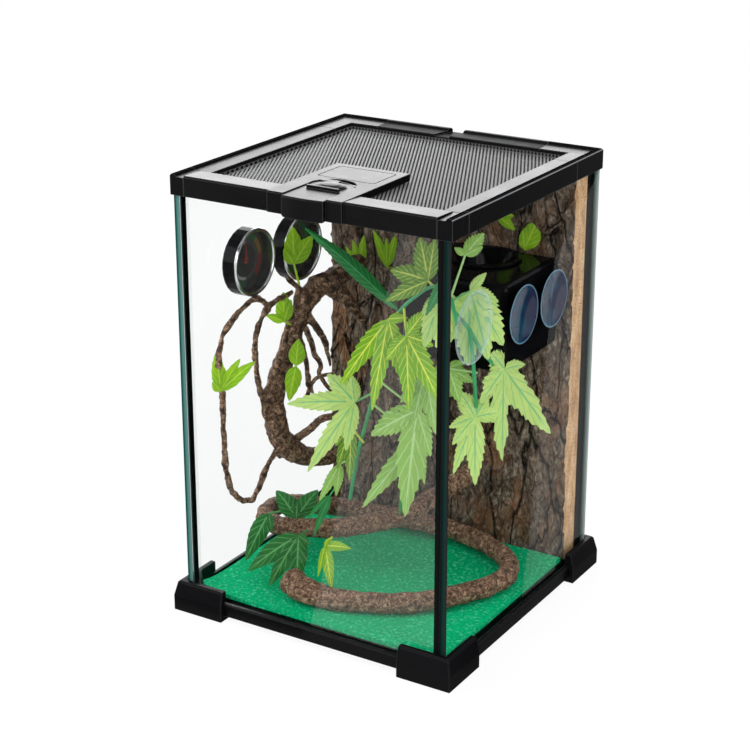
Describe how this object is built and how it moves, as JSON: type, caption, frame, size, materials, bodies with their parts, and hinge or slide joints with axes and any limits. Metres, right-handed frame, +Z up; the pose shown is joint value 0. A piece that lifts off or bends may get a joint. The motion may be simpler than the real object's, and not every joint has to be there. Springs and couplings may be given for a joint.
{
  "type": "terrarium",
  "caption": "Small upright glass terrarium with a sliding screen lid and front latch, furnished with a bark back, mat, vine, root, feeder ledge, gauges and plants.",
  "frame": {"origin": "on the floor under the middle of the four feet", "axes": "+Z up, -Y is the side with the latch, +X to the right seen from there"},
  "size_m": [0.222, 0.222, 0.3159],
  "materials": {
    "glass": "clear float glass, green at the cut edges",
    "sealant": "black silicone",
    "base_plastic": "satin black",
    "foot_plastic": "fine grained satin black",
    "frame_plastic": "satin black",
    "lid_plastic": "satin black",
    "screen": "fine metal screen",
    "pin_steel": "plain",
    "carpet": "green needle felt",
    "cork_bark": "furrowed bark, pale tan where it is cut",
    "vine_bark": "bark-textured foam skin",
    "root_wood": "dark driftwood",
    "ledge_plastic": "polished black",
    "clear_vinyl": "clear",
    "plant_stem": "moulded green",
    "leaf_cloth": "printed cloth leaf",
    "sprig_cloth": "printed cloth leaf",
    "dark_leaf_cloth": "printed cloth leaf",
    "gauge_case": "polished black",
    "gauge_dial": "printed dial",
    "gauge_needle": "red",
    "gauge_lens": "clear"
  },
  "bodies": {
    "tank": {"pane_left": "glass", "pane_right": "glass", "pane_front": "glass", "pane_rear": "glass", "pane_floor": "glass", "sealant_front_left": "sealant", "sealant_front_right": "sealant", "sealant_rear_left": "sealant", "sealant_rear_right": "sealant", "base_rail_front": "base_plastic", "base_rail_rear": "base_plastic", "base_rail_left": "base_plastic", "base_rail_right": "base_plastic", "foot_front_left": "foot_plastic", "foot_front_right": "foot_plastic", "foot_rear_left": "foot_plastic", "foot_rear_right": "foot_plastic", "top_corner_front_left": "frame_plastic", "top_corner_front_right": "frame_plastic", "top_corner_rear_left": "frame_plastic", "top_corner_rear_right": "frame_plastic", "top_rail_left": "frame_plastic", "top_rail_right": "frame_plastic", "top_rail_rear": "frame_plastic", "carpet_mat": "carpet", "bark_background": "cork_bark", "bendable_vine": "vine_bark", "root_branch": "root_wood", "feeder_ledge": "ledge_plastic", "feeder_suction_cup_front": "clear_vinyl", "feeder_suction_cup_rear": "clear_vinyl", "plant_suction_cup": "clear_vinyl", "plant_stems": "plant_stem", "leaf_blade": "plant_stem", "leaf_top": "leaf_cloth", "leaf_middle": "leaf_cloth", "leaf_front": "leaf_cloth", "leaf_left": "leaf_cloth", "leaf_low": "leaf_cloth", "leaf_right": "leaf_cloth", "leaf_right_low": "leaf_cloth", "leaf_pale": "leaf_cloth", "sprig_top": "sprig_cloth", "sprig_twig": "sprig_cloth", "sprig_bark": "sprig_cloth", "lower_plant": "dark_leaf_cloth", "thermometer_case": "gauge_case", "hygrometer_case": "gauge_case", "thermometer_dial": "gauge_dial", "hygrometer_dial": "gauge_dial", "thermometer_lens": "gauge_lens", "hygrometer_lens": "gauge_lens"},
    "lid": {"lid_frame": "lid_plastic", "lid_mesh": "screen", "latch_housing": "lid_plastic", "latch_pin": "pin_steel"},
    "latch": {"latch_lever": "lid_plastic"},
    "cup": {"feeding_cup": "ledge_plastic"},
    "thermometer_pointer": {"thermometer_needle": "gauge_needle"},
    "hygrometer_pointer": {"hygrometer_needle": "gauge_needle"}
  },
  "joints": [
    {"name": "lid_slide", "type": "slide", "parent": "tank", "child": "lid", "axis": [0, -1, 0], "range_m": [0, 0.17]},
    {"name": "latch_pivot", "type": "hinge", "parent": "lid", "child": "latch", "pos_m": [0, -0.064, 0.3123], "axis": [-1, 0, 0], "range_deg": [0, 60]},
    {"name": "cup_lift", "type": "slide", "parent": "tank", "child": "cup", "axis": [0, 0, 1], "range_m": [0, 0.035]},
    {"name": "thermometer_turn", "type": "hinge", "parent": "tank", "child": "thermometer_pointer", "pos_m": [-0.0954, -0.0365, 0.2392], "axis": [1, 0, 0], "range_deg": [-120, 120], "stiffness_Nm_per_rad": 0.0001},
    {"name": "hygrometer_turn", "type": "hinge", "parent": "tank", "child": "hygrometer_pointer", "pos_m": [-0.0954, 0.0227, 0.2348], "axis": [1, 0, 0], "range_deg": [-120, 120], "stiffness_Nm_per_rad": 0.0001}
  ]
}
